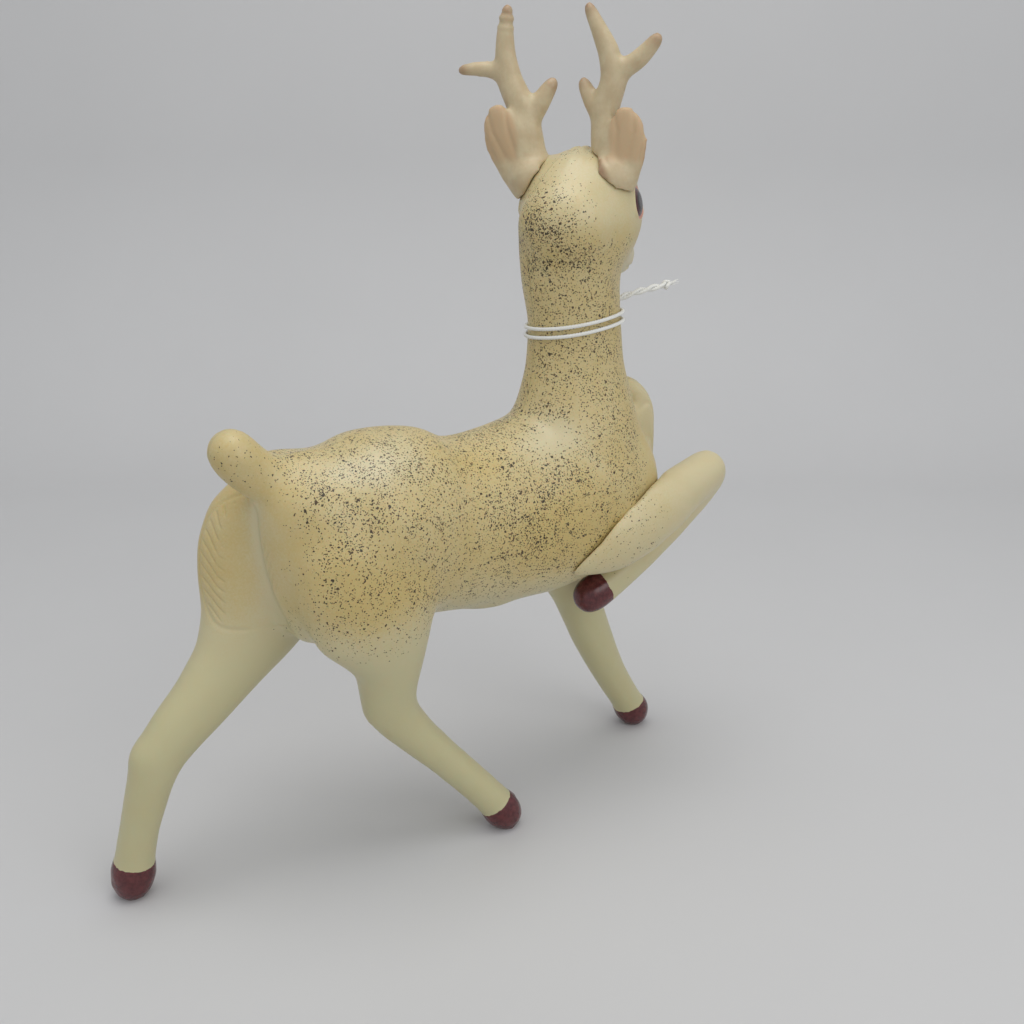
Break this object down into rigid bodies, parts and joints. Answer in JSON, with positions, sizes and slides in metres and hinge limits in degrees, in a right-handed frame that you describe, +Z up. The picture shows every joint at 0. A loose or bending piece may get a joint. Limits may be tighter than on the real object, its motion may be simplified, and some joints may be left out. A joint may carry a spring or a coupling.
{
  "type": "light up yard reindeer",
  "caption": "Hollow moulded plastic reindeer prancing on three legs with its head turned, plug-in antlers, and a lamp and lampholder in its belly.",
  "frame": {"origin": "the middle of the deer's box, on the ground it stands on", "axes": "+Z up, -Y the way the deer walks, +X to the deer's left"},
  "size_m": [0.0906, 0.3134, 0.38],
  "materials": {
    "sprayed_plastic": "cream plastic sprayed beige and spattered with fine dark flecks",
    "cream_plastic": "smooth pale cream plastic, hooves dipped in dark maroon paint",
    "tan_plastic": "satin tan plastic",
    "twine": "white twisted cotton twine",
    "brown_plastic": "dark brown moulded phenolic",
    "brass": "thin pressed brass",
    "spring_steel": "bright spring steel",
    "black_glass": "black glass insulator",
    "solder": "dull solder",
    "lamp_glass": "clear lamp glass"
  },
  "bodies": {
    "deer": {"right_body_shell": "sprayed_plastic", "left_body_shell": "sprayed_plastic", "left_hind_leg": "cream_plastic", "right_hind_leg": "cream_plastic", "left_foreleg": "cream_plastic", "right_foreleg": "cream_plastic", "neck_string": "twine", "string_tail": "twine"},
    "left_antler": {"left_antler_and_ear": "tan_plastic"},
    "right_antler": {"right_antler_and_ear": "tan_plastic"},
    "holder": {"lampholder": "brown_plastic", "screw_shell": "brass", "centre_contact": "brass", "holder_clip": "spring_steel"},
    "lamp": {"lamp_cap": "brass", "lamp_insulator": "black_glass", "lamp_tip": "solder", "lamp_glass": "lamp_glass", "lamp_stem": "lamp_glass", "filament": "spring_steel"}
  },
  "joints": [
    {"name": "holder_pull", "type": "slide", "parent": "deer", "child": "holder", "axis": [0, 0, -1], "range_m": [0, 0.066]},
    {"name": "lamp_unscrew", "type": "hinge", "parent": "holder", "child": "lamp", "pos_m": [-0.00143, -0.02502, 0.13], "axis": [0, 0, 1], "range_deg": [0, 900]},
    {"name": "left_antler_pull", "type": "slide", "parent": "deer", "child": "left_antler", "axis": [0.1963, 0.2086, 0.9581], "range_m": [0, 0.022]},
    {"name": "right_antler_pull", "type": "slide", "parent": "deer", "child": "right_antler", "axis": [-0.2017, -0.1014, 0.9742], "range_m": [0, 0.022]}
  ]
}
